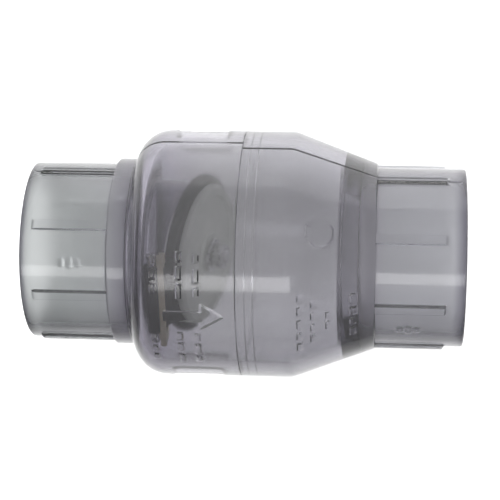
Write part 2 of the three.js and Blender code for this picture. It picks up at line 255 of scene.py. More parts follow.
def box_distance(u, v, half_u, half_v, corner=0.0):
    """Signed distance to a rounded rectangle centred on the origin."""
    du = abs(u) - half_u + corner
    dv = abs(v) - half_v + corner
    return math.hypot(max(du, 0), max(dv, 0)) + min(max(du, dv), 0) - corner


def angle_between(angle, other):
    return (angle - other + math.pi) % TURN - math.pi


def arc(centre_x, centre_r, radius, start, end, steps=8):
    """Points (x, r) round a centre, from one angle to another in degrees."""
    angles = [math.radians(start + (end - start) * i / steps) for i in range(steps + 1)]
    return [(centre_x + radius * math.cos(a), centre_r + radius * math.sin(a)) for a in angles]


def closely(points, step):
    """The same path with extra points, so that no two are further apart than step."""
    path = [points[0]]
    for (x0, r0), (x1, r1) in zip(points, points[1:]):
        count = max(1, math.ceil(math.hypot(x1 - x0, r1 - r0) / step))
        path += [(x0 + (x1 - x0) * i / count, r0 + (r1 - r0) * i / count) for i in range(1, count + 1)]
    return path


def even_angles(count):
    return [TURN * i / count for i in range(count)]


def add_object(name, mesh):
    piece = bpy.data.objects.new(name, mesh)
    bpy.context.scene.collection.objects.link(piece)
    return piece


def finished(mesh, sharp_degrees=35):
    """Turns a closed mesh's faces outwards and shades it smooth except at real edges."""
    work = bmesh.new()
    work.from_mesh(mesh)
    if work.calc_volume(signed=True) < 0:
        bmesh.ops.reverse_faces(work, faces=work.faces)
    work.to_mesh(mesh)
    work.free()
    mesh.shade_smooth()
    mesh.set_sharp_from_angle(angle=math.radians(sharp_degrees))
    return mesh


def turned(name, profile, angles, shape=None):
    """A closed surface round the X axis, from a closed path of (x, r).

    shape(i, x, r, angle) may move a point.
    """
    verts = []
    for i, (x, r) in enumerate(profile):
        for a in angles:
            px, pr = shape(i, x, r, a) if shape else (x, r)
            verts.append((px, pr * math.sin(a), pr * math.cos(a)))
    rows, count = len(profile), len(angles)
    faces = []
    for i in range(rows):
        here, there = i * count, (i + 1) % rows * count
        for j in range(count):
            k = (j + 1) % count
            faces.append((here + j, here + k, there + k, there + j))
    mesh = bpy.data.meshes.new(name)
    mesh.from_pydata(verts, [], faces)
    return add_object(name, finished(mesh))


def solid_turned(name, profile, count):
    """A closed solid round the X axis whose profile runs from the axis to the axis."""
    angles = even_angles(count)
    start, *middle, end = profile
    verts = [(start[0], 0, 0), (end[0], 0, 0)]
    verts += [(x, r * math.sin(a), r * math.cos(a)) for x, r in middle for a in angles]
    faces = []
    for j in range(count):
        k = (j + 1) % count
        faces.append((0, 2 + j, 2 + k))
        last = 2 + (len(middle) - 1) * count
        faces.append((1, last + k, last + j))
        for i in range(len(middle) - 1):
            here, there = 2 + i * count, 2 + (i + 1) * count
            faces.append((here + j, there + j, there + k, here + k))
    mesh = bpy.data.meshes.new(name)
    mesh.from_pydata(verts, [], faces)
    return add_object(name, finished(mesh))


def prism(name, outline, half_width, bevel, along="Y"):
    """An outline drawn in two directions, carried along the third and rounded at its edges."""
    places = {
        "Y": lambda u, v, w: (u, w, v),
        "X": lambda u, v, w: (w, u, v),
    }
    place = places[along]
    work = bmesh.new()
    near = [work.verts.new(place(u, v, -half_width)) for u, v in outline]
    far = [work.verts.new(place(u, v, half_width)) for u, v in outline]
    ends = [work.faces.new(near), work.faces.new(far[::-1])]
    for i in range(len(outline)):
        k = (i + 1) % len(outline)
        work.faces.new((near[i], far[i], far[k], near[k]))
    bmesh.ops.recalc_face_normals(work, faces=work.faces)
    if bevel:
        rims = [e for face in ends for e in face.edges]
        corners = [e for e in work.edges if e not in rims and e.calc_face_angle() > math.radians(40)]
        bmesh.ops.bevel(work, geom=rims + corners, offset=bevel, segments=3, profile=0.5, affect="EDGES")
    mesh = bpy.data.meshes.new(name)
    work.to_mesh(mesh)
    work.free()
    return add_object(name, finished(mesh))


def combined(piece, others, operation):
    """Joins or cuts a piece with other closed pieces, which are then removed."""
    for other in others:
        cut = piece.modifiers.new("cut", "BOOLEAN")
        cut.operation = operation
        cut.solver = "EXACT"
        cut.object = other
    bpy.context.view_layer.update()
    shaped = bpy.data.meshes.new_from_object(piece.evaluated_get(bpy.context.evaluated_depsgraph_get()))
    piece.modifiers.clear()
    piece.data = finished(shaped)
    for other in others:
        bpy.data.objects.remove(other)
    return piece


def on_flapper(piece):
    """Leans a piece drawn flat, with its middle at the origin, onto the seat."""
    lean = Matrix.Translation((FLAPPER_X, 0, 0)) @ Matrix.Rotation(-SEAT_TILT, 4, "Y")
    piece.data.transform(lean)
    return piece


# ---- Body halves ----

def rib_relief(x, angle, ribs):
    pitch = TURN / RIB_COUNT
    offset = (angle - ribs["turn"] + pitch / 2) % pitch - pitch / 2
    across = abs(offset) * SOCKET_RADIUS - RIB_WIDTH / 2
    lengthwise = max(ribs["start"] - x, x - ribs["end"])
    return RIB_HEIGHT * within(max(across, lengthwise))


def pad_radius(x, radius, angle):
    """The radius of the bell's outside where a flat-floored pad is sunk into it."""
    for middle in PAD_ANGLES:
        offset = angle_between(angle, middle)
        if abs(offset) > PAD_REACH:
            continue
        sideways = BODY_RADIUS * math.sin(offset)
        inside = within(box_distance(x - PAD_MIDDLE_X, sideways, PAD_HALF_LENGTH, PAD_HALF_WIDTH, PAD_CORNER))
        floor = PAD_FLOOR / math.cos(offset)
        radius += (min(floor, radius) - radius) * inside
    return radius


def parting_groove(angle, radius, turn):
    """Depth of the fine witness line along both sides, where the mould's halves met."""
    side = abs(angle_between(angle, turn))
    distance = abs(side - math.pi / 2) * radius
    return PARTING_DEPTH * within(distance - PARTING_HALF_WIDTH, EDGE)


def arrow_distance(u, v):
    """Signed distance to a plain flow arrow that points along +u, with its tip at u = 0."""
    length, head, head_half = ARROW_LENGTH, ARROW_HEAD_LENGTH, ARROW_HEAD_HALF_WIDTH
    shaft = box_distance(u + (length + head) / 2, v, (length - head) / 2, ARROW_SHAFT_HALF_WIDTH)
    flank = (head_half * u + head * abs(v)) / math.hypot(head, head_half)
    return min(shaft, max(flank, -u - head))


def dash_rows(turn, rows, middles):
    """Plain moulded dashes in rows round the body, as (x, angle, half length round the body).

    rows holds (x, dash lengths), and middles says how far round from turn each copy of a row is centred.
    All are in millimetres.
    """
    dashes = []
    for x, lengths in rows:
        total = sum(lengths) + DASH_SPACING * (len(lengths) - 1)
        for middle in middles:
            at = middle - total / 2
            for length in lengths:
                dashes.append((x * MM, turn + (at + length / 2) * MM / BODY_RADIUS, length / 2 * MM))
                at += length + DASH_SPACING
    return dashes


def dash_relief(x, angle, radius, dashes, tall=DASH_HEIGHT):
    height = 0.0
    for dash_x, dash_angle, half_length in dashes:
        if abs(x - dash_x) > DASH_REACH:
            continue
        around = angle_between(angle, dash_angle) * radius
        distance = box_distance(x - dash_x, around, DASH_HALF_WIDTH, half_length, DASH_CORNER)
        height = max(height, tall * within(distance, DASH_EDGE))
    return height


INLET_DASHES = dash_rows(
    0.0,
    [(-26.3, (3, 2.5, 3)), (-18.2, (4.5, 4, 3)), (-12.9, (3, 4.5, 3))],
    (-13.5, 13.5),
)
INLET_SIZE_DASHES = dash_rows(math.radians(21.5), [(-56.5, (2.5,)), (-54.0, (3.5,)), (-51.5, (2.5,))], (0.0,))
OUTLET_DASHES = dash_rows(
    OUTLET_TURN,
    [(18.9, (3.5, 3, 3.5, 3, 2.5)), (23.2, (3.5, 3, 3, 2.5)), (27.7, (3.5, 2.5)), (35.3, (4, 3, 3.5, 4))],
    (0.0,),
)
OUTLET_SIZE_DASHES = dash_rows(math.radians(-23.5), [(50.0, (2.5,)), (52.5, (3.5,)), (55.0, (2.5,))], (0.0,))


def refined_angles(turn, marks_from, marks_to):
    """Angles round a body half: even ones, with more at the ribs, pads, parting lines and marks."""
    angles = set(even_angles(EVEN_ANGLES))
    rib_edge = RIB_WIDTH / 2 / SOCKET_RADIUS
    for i in range(RIB_COUNT):
        for side in (-1, 1):
            middle = turn + TURN * i / RIB_COUNT + side * rib_edge
            angles |= {middle + EDGE / SOCKET_RADIUS * f for f in (-0.6, -0.25, 0, 0.25, 0.6)}
    fine = math.radians(FINE_DEGREES)
    first = math.radians(marks_from)
    angles |= {first + fine * i for i in range(math.ceil((marks_to - marks_from) / FINE_DEGREES))}
    for side in (-1, 1):
        for middle in PAD_ANGLES:
            pad_edge = middle + side * PAD_HALF_WIDTH / BODY_RADIUS
            angles |= {pad_edge + fine * i for i in (-1, 0, 1)}
        angles |= {turn + side * math.pi / 2 + fine / 2 * i for i in range(-5, 6)}
    kept = []
    for angle in sorted(a % TURN for a in angles):
        if not kept or angle - kept[-1] > CLOSEST_ANGLE:
            kept.append(angle)
    return kept


def seat_shift(radius, angle):
    """How far along X the seat's face lies at a point of the nozzle."""
    face = -SEAL_HALF - GAP
    return FLAPPER_X + face / math.cos(SEAT_TILT) - radius * math.cos(angle) * math.tan(SEAT_TILT)


def build_inlet_body():
    shoulder_r = BODY_RADIUS - SHOULDER_ROUND
    rim = -HALF_LENGTH
    outside = [
        *arc(rim + RIM_ROUND, SOCKET_RADIUS - RIM_ROUND, RIM_ROUND, 180, 90, 5),
        *arc(COLLAR_START_X - COLLAR_ROUND, SOCKET_RADIUS + COLLAR_ROUND, COLLAR_ROUND, -90, 0, 4),
        *arc(COLLAR_START_X + COLLAR_ROUND, COLLAR_RADIUS - COLLAR_ROUND, COLLAR_ROUND, 180, 90, 4),
        *arc(SHOULDER_X - SHOULDER_ROUND - 0.9 * MM, COLLAR_RADIUS + 0.6 * MM, 0.6 * MM, -90, -10, 4),
        *arc(SHOULDER_X, shoulder_r, SHOULDER_ROUND, 173, 90, 26),
        *arc(SEAM_X - SEAM_GAP / 2 - SEAM_ROUND, BODY_RADIUS - SEAM_ROUND, SEAM_ROUND, 90, 0, 3),
    ]
    outside = closely(outside, 0.5 * MM)
    chamber = [
        (SEAM_X - SEAM_GAP / 2, CHAMBER_RADIUS),
        *arc(SHOULDER_X, shoulder_r, SHOULDER_ROUND - WALL, 90, 180, 14),
        *arc(NOZZLE_WALL_X + 1 * MM, SEAT_OUTER_RADIUS + 1 * MM, 1 * MM, 180, 270, 5),
    ]
    chamber = closely(chamber, 1.5 * MM)
    nozzle = [
        ("tip", SEAT_OUTER_RADIUS, 0.35 * MM),
        ("tip", SEAT_OUTER_RADIUS - 0.35 * MM, 0.0),
        ("tip", FLOW_RADIUS + 0.5 * MM, 0.0),
        ("tip", FLOW_RADIUS, 0.5 * MM),
    ]
    bore_end_r = SOCKET_END_RADIUS - BORE_END_ROUND
    bore = closely(
        [
            (-SOCKET_END_X + 3 * MM, FLOW_RADIUS),
            *arc(-SOCKET_END_X + STOP_ROUND, FLOW_RADIUS + STOP_ROUND, STOP_ROUND, 270, 180, 3),
            *arc(-SOCKET_END_X - BORE_END_ROUND, bore_end_r, BORE_END_ROUND, 0, 90, 3),
            (rim + MOUTH_CHAMFER_DEPTH, SOCKET_MOUTH_RADIUS),
            (rim, SOCKET_MOUTH_RADIUS + MOUTH_CHAMFER),
        ],
        2.5 * MM,
    )
    first_tip = len(outside) + len(chamber)
    profile = outside + chamber + [(0.0, r) for _, r, _ in nozzle] + bore
    last_outside = len(outside)

    def shape(i, x, r, a):
        if first_tip <= i < first_tip + len(nozzle):
            return seat_shift(r, a) - nozzle[i - first_tip][2], r
        if i >= last_outside:
            return x, r
        if x > SHOULDER_X - SHOULDER_ROUND:
            relief = dash_relief(x, a, BODY_RADIUS, INLET_DASHES)
            around = angle_between(a, 0.0) * BODY_RADIUS
            arrow = within(arrow_distance(x - ARROW_TIP_X, around), ARROW_EDGE)
            relief = max(relief, MARK_HEIGHT * arrow)
            return x, pad_radius(x, r, a) + relief - parting_groove(a, r, 0.0)
        if rim + 2 * MM < x < COLLAR_START_X:
            marks = dash_relief(x, a, SOCKET_RADIUS, INLET_SIZE_DASHES, SIZE_DASH_HEIGHT)
            relief = max(rib_relief(x, a, INLET_RIBS), marks)
            return x, max(r, SOCKET_RADIUS + relief) - parting_groove(a, r, 0.0)
        return x, r

    return turned("inlet_shell", profile, refined_angles(0.0, -32, 32), shape)


def gate_relief(x, radius, angle, slope):
    """Height of the round gate pad on the cone: a low disc with a thin raised ring."""
    along = (x - GATE_X) * math.hypot(1, slope)
    around = angle_between(angle, GATE_ANGLE) * radius
    distance = math.hypot(along, around) - GATE_RADIUS
    disc = GATE_DISC_HEIGHT * within(distance, GATE_EDGE)
    return disc + GATE_RING_HEIGHT * within(abs(distance + GATE_RING_INSET) - GATE_EDGE, GATE_EDGE)


def build_outlet_body():
    slope = (CONE_END_RADIUS - BODY_RADIUS) / (CONE_END_X - CONE_START_X)
    lean = math.degrees(math.atan(slope))
    wall_r = WALL * math.hypot(1, slope)

    def inner_cone(x):
        return BODY_RADIUS - wall_r + slope * (x - CONE_START_X)

    inner_cone_x = CONE_START_X + (CHAMBER_RADIUS - BODY_RADIUS + wall_r) / slope
    rim = HALF_LENGTH
    start = SEAM_X + SEAM_GAP / 2
    cone_round_x = CONE_START_X - CONE_START_ROUND * CONE_ROUND_SHIFT
    outside = [
        *arc(start + SEAM_ROUND, BODY_RADIUS - SEAM_ROUND, SEAM_ROUND, 180, 90, 3),
        *arc(cone_round_x, BODY_RADIUS - CONE_START_ROUND, CONE_START_ROUND, 90, 90 + lean, 6),
        *arc(CONE_END_X - 0.5 * MM, CONE_END_RADIUS - 0.4 * MM, 0.5 * MM, 90 + lean, 0, 4),
        *arc(CONE_END_X + 0.4 * MM, SOCKET_RADIUS + 0.4 * MM, 0.4 * MM, 180, 270, 4),
        *arc(rim - RIM_ROUND, SOCKET_RADIUS - RIM_ROUND, RIM_ROUND, 90, 0, 5),
    ]
    outside = closely(outside, 0.5 * MM)
    inside = [
        (rim, SOCKET_MOUTH_RADIUS + MOUTH_CHAMFER),
        (rim - MOUTH_CHAMFER_DEPTH, SOCKET_MOUTH_RADIUS),
        *arc(SOCKET_END_X + BORE_END_ROUND, SOCKET_END_RADIUS - BORE_END_ROUND, BORE_END_ROUND, 90, 180, 3),
        *arc(SOCKET_END_X - STOP_ROUND, FLOW_RADIUS + STOP_ROUND, STOP_ROUND, 0, -90, 3),
        *arc(OUTLET_STOP_X + STOP_ROUND, FLOW_RADIUS + STOP_ROUND, STOP_ROUND, 270, 180, 3),
        *arc(OUTLET_STOP_X + 0.8 * MM, inner_cone(OUTLET_STOP_X) - 1.1 * MM, 0.8 * MM, 180, 90 + lean, 5),
        (inner_cone_x, CHAMBER_RADIUS),
    ]
    for depth in WELD_BEAD_DEPTHS:
        inside += arc(SEAM_X + depth, CHAMBER_RADIUS, WELD_BEAD, 0, -180, 6)
    inside.append((start, CHAMBER_RADIUS))
    inside = closely(inside, 2.5 * MM)
    profile = outside + inside
    last_outside = len(outside)

    def shape(i, x, r, a):
        if i >= last_outside:
            return x, r
        if x < CONE_END_X - 0.5 * MM:
            relief = max(gate_relief(x, r, a, slope), dash_relief(x, a, BODY_RADIUS, OUTLET_DASHES))
            return x, r + relief - parting_groove(a, r, OUTLET_TURN)
        if CONE_END_X < x < rim - 2 * MM:
            marks = dash_relief(x, a, SOCKET_RADIUS, OUTLET_SIZE_DASHES, SIZE_DASH_HEIGHT)
            relief = max(rib_relief(x, a, OUTLET_RIBS), marks)
            return x, max(r, SOCKET_RADIUS + relief) - parting_groove(a, r, OUTLET_TURN)
        return x, r

    return turned("outlet_shell", profile, refined_angles(OUTLET_TURN, -40, 45), shape)


# ---- Hinge ----

def build_pin():
    chamfer = 0.3 * MM
    end, r = PIN_HALF_LENGTH, PIN_RADIUS
    profile = [(-end, 0), (-end, r - chamfer), *arc(chamfer - end, r - chamfer, chamfer, 180, 90, 4)]
    profile += [*arc(end - chamfer, r - chamfer, chamfer, 90, 0, 4), (end, 0)]
    pin = solid_turned("pivot_pin", profile, 48)
    pin.data.transform(Matrix.Translation(PIN) @ Matrix.Rotation(math.pi / 2, 4, "Z"))
    return pin


def build_keeper():
    low, high = keeper_low, keeper_high
    outer_y, arch_z = LUG_INNER_Y + LUG_THICKNESS, KEEPER_ARCH_Z
    nose_x = PIN.x + PIN_RADIUS + GAP
    face_x = LUG_FACE_X + GAP
    arch_round = [
        (side * LUG_INNER_Y, z) for side, z in ((1, low.z), (1, arch_z), (-1, arch_z), (-1, low.z))
    ]
    outline = [(-outer_y, low.z), (-outer_y, high.z), (outer_y, high.z), (outer_y, low.z), *arch_round]
    keeper = prism("pin_keeper", outline, (high.x - face_x) / 2, KEEPER_BEVEL, along="X")
    keeper.data.transform(Matrix.Translation(((high.x + face_x) / 2, 0, 0)))
    noses = []
    half = PIN_RADIUS
    nose_end = high.x - NOSE_OVERLAP
    nose_outline = [(nose_x, -half), (nose_end, -half), (nose_end, half), (nose_x, half)]
    for side in (-1, 1):
        nose = prism("nose", nose_outline, LUG_THICKNESS / 2 - GAP, NOSE_BEVEL)
        nose.data.transform(Matrix.Translation((0, side * (LUG_INNER_Y + LUG_THICKNESS / 2), PIN.z)))
        noses.append(nose)
    return combined(keeper, noses, "UNION")


# ---- Flapper ----

def pin_in_flapper():
    flat = Matrix.Rotation(SEAT_TILT, 4, "Y") @ (PIN - Vector((FLAPPER_X, 0, 0)))
    return flat.x, flat.z


def build_seal():
    """Rubber disc with a rounded rim and a sealing lip, and a neck that bends back to the pin's barrel."""
    edge = SEAL_EDGE_ROUND
    rim_r = SEAL_RADIUS - edge
    profile = [
        (-SEAL_HALF, BOLT_HOLE),
        *arc(-SEAL_HALF, SEAL_LIP_RADIUS, SEAL_LIP_HEIGHT, 270, 90, 6),
        *arc(-SEAL_HALF + edge, rim_r, edge, 180, 90, 6),
        *arc(SEAL_HALF - edge, rim_r, edge, 90, 0, 6),
        (SEAL_HALF, BOLT_HOLE),
    ]
    disc = turned("flapper_rubber", closely(profile, 1.5 * MM), even_angles(192))
    pin_x, pin_z = pin_in_flapper()
    root_z = NECK_ROOT_Z
    lean = math.atan2(pin_x, pin_z - root_z)
    across = Vector((math.cos(lean), -math.sin(lean))) * NECK_HALF_THICKNESS
    round_barrel = [
        (pin_x + BARREL_RADIUS * math.sin(lean + t), pin_z + BARREL_RADIUS * math.cos(lean + t))
        for t in [math.radians(d) for d in range(130, -131, -10)]
    ]
    outline = [
        (SEAL_HALF, NECK_FOOT_Z),
        (SEAL_HALF, root_z - 0.8 * MM),
        (SEAL_HALF - 0.25 * MM, root_z),
        (across.x + 0.05 * MM, root_z + 1.0 * MM),
        *round_barrel,
        (-across.x - 0.25 * MM, root_z + 0.2 * MM),
        (-SEAL_HALF + 0.1 * MM, root_z - 0.9 * MM),
        (-SEAL_HALF + 0.1 * MM, NECK_FOOT_Z),
    ]
    neck = prism("neck", outline, BARREL_HALF_WIDTH, 0.0)
    seal = combined(disc, [neck], "UNION")
    bore_radius = PIN_RADIUS + GAP
    circle = [(pin_x + bore_radius * math.cos(a), pin_z + bore_radius * math.sin(a)) for a in even_angles(40)]
    bore = prism("bore", circle, BARREL_HALF_WIDTH + 1 * MM, 0.0)
    return on_flapper(combined(seal, [bore], "DIFFERENCE"))


def build_plate():
    """Stiff plate with a raised rim and hub and a shallow dish between them."""
    face = SEAL_HALF + GAP
    back = face + PLATE_THICKNESS
    dish = back - DISH_DEPTH
    profile = [
        (face, BOLT_HOLE),
        *arc(face + 0.4 * MM, PLATE_RADIUS - 0.4 * MM, 0.4 * MM, 180, 90, 4),
        *arc(face + 1.3 * MM, PLATE_RADIUS - 0.5 * MM, 0.5 * MM, 90, 20, 4),
        *arc(back - 0.3 * MM, PLATE_RADIUS - 1.2 * MM, 0.3 * MM, 60, 0, 3),
        *arc(back - 0.3 * MM, PLATE_RADIUS - 3.2 * MM, 0.3 * MM, 0, -80, 3),
        *arc(dish + 0.4 * MM, PLATE_RADIUS - 4.1 * MM, 0.4 * MM, 100, 180, 4),
        *arc(dish + 0.4 * MM, HUB_RADIUS + 1 * MM, 0.4 * MM, 180, 260, 4),
        *arc(back - 0.3 * MM, HUB_RADIUS, 0.3 * MM, 80, 0, 3),
        (back, BOLT_HOLE),
    ]
    return on_flapper(turned("flapper_disc_plate", closely(profile, 1.5 * MM), even_angles(192)))


def build_backing():
    face = -SEAL_HALF - GAP
    back = face - BACKING_THICKNESS
    profile = [
        (back, BOLT_HOLE),
        *arc(back + 0.7 * MM, BACKING_RADIUS - 0.7 * MM, 0.7 * MM, 180, 90, 5),
        *arc(face - 0.3 * MM, BACKING_RADIUS - 0.3 * MM, 0.3 * MM, 90, 0, 4),
        (face, BOLT_HOLE),
    ]
    return on_flapper(turned("flapper_back_plate", closely(profile, 1.5 * MM), even_angles(160)))


def stack_x():
    """Where the washer, the nut and the bolt's head start along the flapper's axis."""
    washer = SEAL_HALF + GAP + PLATE_THICKNESS + GAP
    nut = washer + WASHER_THICKNESS + GAP
    head = -SEAL_HALF - GAP - BACKING_THICKNESS - GAP
    return washer, nut, head


def build_bolt():
    _, nut_x, head_x = stack_x()
    end = nut_x + NUT_THICKNESS + BOLT_END_BEYOND_NUT
    thread_start = nut_x - 1 * MM
    pitch, depth = THREAD_PITCH, THREAD_DEPTH
    head_back, head_r = head_x - BOLT_HEAD_THICKNESS, NUT_RADIUS
    profile = [(head_back, 0), (head_back, BOLT_HEAD_FLAT)]
    profile += arc(head_back + BOLT_HEAD_ROUND, head_r - BOLT_HEAD_ROUND, BOLT_HEAD_ROUND, 180, 90, 8)
    profile += [(head_x, head_r - 0.1 * MM), (head_x, BOLT_RADIUS), (thread_start, BOLT_RADIUS)]
    turns = int((end - 0.3 * MM - thread_start) / pitch)
    for i in range(turns):
        at = thread_start + pitch * i
        profile += [(at + pitch * 0.45, BOLT_RADIUS - depth), (at + pitch * 0.55, BOLT_RADIUS - depth)]
        profile += [(at + pitch * 0.95, BOLT_RADIUS)]
    profile += [(end - 0.3 * MM, BOLT_RADIUS - depth), (end, BOLT_RADIUS - 0.6 * MM), (end, 0)]
    bolt = solid_turned("clamp_bolt", profile, 48)
    corner = KEY_WIDTH / 2 / math.cos(math.pi / 6)
    recess = [(corner * math.cos(a), corner * math.sin(a)) for a in even_angles(6)]
    socket = prism("socket", recess, KEY_DEPTH, 0.0, along="X")
    socket.data.transform(Matrix.Translation((head_back, 0, 0)))
    return on_flapper(combined(bolt, [socket], "DIFFERENCE"))


def build_washer():
    washer_x, _, _ = stack_x()
    profile = [
        (washer_x, BOLT_HOLE),
        *arc(washer_x + 0.15 * MM, WASHER_RADIUS - 0.15 * MM, 0.15 * MM, 180, 90, 3),
        *arc(washer_x + WASHER_THICKNESS - 0.3 * MM, WASHER_RADIUS - 0.3 * MM, 0.3 * MM, 90, 0, 4),
        (washer_x + WASHER_THICKNESS, BOLT_HOLE),
    ]
    return on_flapper(turned("clamp_washer", profile, even_angles(96)))


def build_nut():
    """A hexagon nut whose corners are rounded off at both faces."""
    _, nut_x, _ = stack_x()
    flat = NUT_RADIUS * math.cos(math.pi / 6)
    end = nut_x + NUT_THICKNESS
    profile = [
        (nut_x, BOLT_HOLE + 0.3 * MM),
        (nut_x, flat - 0.1 * MM),
        (nut_x + 0.45 * MM, NUT_RADIUS),
        (end - 0.45 * MM, NUT_RADIUS),
        (end, flat - 0.1 * MM),
        (end, BOLT_HOLE + 0.3 * MM),
        (end - 0.3 * MM, BOLT_HOLE),
        (nut_x + 0.3 * MM, BOLT_HOLE),
    ]

    def shape(i, x, r, a):
        off = (a + math.pi / 6) % (math.pi / 3) - math.pi / 6
        return x, (min(r, flat / math.cos(off)) if 1 <= i <= 4 else r)

    return on_flapper(turned("clamp_nut", profile, even_angles(144), shape))


# ---- Materials ----

def new_material(name):
    material = bpy.data.materials.new(name)
    material.use_nodes = True
    tree = material.node_tree
    return material, tree.nodes, tree.links, tree.nodes["Principled BSDF"]


def noise(nodes, links, scale, detail=4.0, roughness=0.5):
    where = nodes.get("Texture Coordinate") or nodes.new("ShaderNodeTexCoord")
    node = nodes.new("ShaderNodeTexNoise")
    node.inputs["Scale"].default_value = scale
    node.inputs["Detail"].default_value = detail
    node.inputs["Roughness"].default_value = roughness
    links.new(where.outputs["Object"], node.inputs["Vector"])
    return node


def colour_ramp(nodes, links, source, dark, light, low=0.35, high=0.65):
    ramp = nodes.new("ShaderNodeValToRGB")
    ramp.color_ramp.elements[0].position = low
    ramp.color_ramp.elements[0].color = (*dark, 1)
    ramp.color_ramp.elements[1].position = high
    ramp.color_ramp.elements[1].color = (*light, 1)
    links.new(source.outputs["Fac"], ramp.inputs["Fac"])
    return ramp


def value_range(nodes, links, source, low, high):
    node = nodes.new("ShaderNodeMapRange")
    node.inputs["From Min"].default_value = 0.3
    node.inputs["From Max"].default_value = 0.7
    node.inputs["To Min"].default_value = low
    node.inputs["To Max"].default_value = high
    links.new(source.outputs["Fac"], node.inputs["Value"])
    return node


def bump(nodes, links, source, distance, strength=1.0):
    node = nodes.new("ShaderNodeBump")
    node.inputs["Distance"].default_value = distance
    node.inputs["Strength"].default_value = strength
    links.new(source.outputs["Fac"], node.inputs["Height"])
    return node


def moulded_material(name, dark, light, roughness, grain_scale, bump_distance, ior=1.5):
    """Opaque moulded plastic or rubber: faint mottling, uneven gloss and a fine grain."""
    material, nodes, links, shader = new_material(name)
    mottle = noise(nodes, links, scale=180)
    grain = noise(nodes, links, grain_scale, detail=8.0, roughness=0.6)
    links.new(colour_ramp(nodes, links, mottle, dark, light).outputs["Color"], shader.inputs["Base Color"])
    uneven = value_range(nodes, links, mottle, roughness - 0.08, roughness + 0.08)
    links.new(uneven.outputs["Result"], shader.inputs["Roughness"])
    links.new(bump(nodes, links, grain, bump_distance).outputs["Normal"], shader.inputs["Normal"])
    shader.inputs["IOR"].default_value = ior
    return material


def position(nodes, links):
    """Where a point lies along the flow axis, and how far it is from that axis."""
    where = nodes.get("Texture Coordinate") or nodes.new("ShaderNodeTexCoord")
    split = nodes.new("ShaderNodeSeparateXYZ")
    links.new(where.outputs["Object"], split.inputs["Vector"])
    across = nodes.new("ShaderNodeCombineXYZ")
    links.new(split.outputs["Y"], across.inputs["Y"])
    links.new(split.outputs["Z"], across.inputs["Z"])
    length = nodes.new("ShaderNodeVectorMath")
    length.operation = "LENGTH"
    links.new(across.outputs["Vector"], length.inputs[0])
    return split.outputs["X"], length.outputs["Value"]


def arithmetic(nodes, links, operation, first, second):
    """A Math node of a socket and a number, or of two sockets."""
    node = nodes.new("ShaderNodeMath")
    node.operation = operation
    links.new(first, node.inputs[0])
    if isinstance(second, float):
        node.inputs[1].default_value = second
    else:
        links.new(second, node.inputs[1])
    return node.outputs["Value"]


def absolute(nodes, links, value):
    node = nodes.new("ShaderNodeMath")
    node.operation = "ABSOLUTE"
    links.new(value, node.inputs[0])
    return node.outputs["Value"]


def tint_and_painted_shade_along(nodes, links, along, stops):
    """A colour that changes smoothly along the flow axis, from (x in mm, colour) stops."""
    place = nodes.new("ShaderNodeMapRange")
    place.inputs["From Min"].default_value = -HALF_LENGTH
    place.inputs["From Max"].default_value = HALF_LENGTH
    links.new(along, place.inputs["Value"])
    ramp = nodes.new("ShaderNodeValToRGB")
    elements = ramp.color_ramp.elements
    while len(elements) < len(stops):
        elements.new(1.0)
    for element, (x, colour) in zip(elements, stops):
        element.position = (x * MM + HALF_LENGTH) / (2 * HALF_LENGTH)
        element.color = (*colour, 1)
    links.new(place.outputs["Result"], ramp.inputs["Fac"])
    return ramp


def clear_pvc():
    """Smoky clear plastic: tinted along the flow, with painted shade at the socket rims and mouths and on the
    thick shoulder, glossy outside and matte in the socket bores.
    """
    material, nodes, links, shader = new_material("clear_grey_pvc")
    along, radius = position(nodes, links)
    swirl = noise(nodes, links, scale=60, detail=3.0)
    haze = noise(nodes, links, scale=260, detail=5.0)
    cloud = colour_ramp(nodes, links, swirl, (0.94, 0.94, 0.94), (1.0, 1.0, 1.0))
    # The colour along the flow is partly the plastic's own tone and partly painted shade, darker at the socket
    # rims and mouths and on the shoulder.
    tint = tint_and_painted_shade_along(nodes, links, along, PVC_TINTS_AND_PAINTED_SHADE)
    clouded = nodes.new("ShaderNodeMix")
    clouded.data_type = "RGBA"
    clouded.blend_type = "MULTIPLY"
    clouded.inputs["Factor"].default_value = 1.0
    links.new(tint.outputs["Color"], clouded.inputs["A"])
    links.new(cloud.outputs["Color"], clouded.inputs["B"])
    links.new(clouded.outputs["Result"], shader.inputs["Base Color"])
    in_bore = arithmetic(nodes, links, "LESS_THAN", radius, SOCKET_MOUTH_RADIUS + 1 * MM)
    in_socket = arithmetic(nodes, links, "GREATER_THAN", absolute(nodes, links, along), SOCKET_END_X)
    matte = arithmetic(nodes, links, "MULTIPLY", in_bore, in_socket)
    gloss = value_range(nodes, links, haze, low=0.09, high=0.13)
    rough = arithmetic(nodes, links, "MULTIPLY", matte, MATTE_BORE)
    roughness = arithmetic(nodes, links, "ADD", gloss.outputs["Result"], rough)
    links.new(roughness, shader.inputs["Roughness"])
    links.new(bump(nodes, links, swirl, 0.04 * MM).outputs["Normal"], shader.inputs["Normal"])
    shader.inputs["Transmission Weight"].default_value = 0.96
    shader.inputs["IOR"].default_value = 1.5
    absorb = nodes.new("ShaderNodeVolumeAbsorption")
    absorb.inputs["Color"].default_value = PVC_ABSORPTION
    absorb.inputs["Density"].default_value = PVC_DENSITY
    links.new(absorb.outputs["Volume"], nodes["Material Output"].inputs["Volume"])
    return material


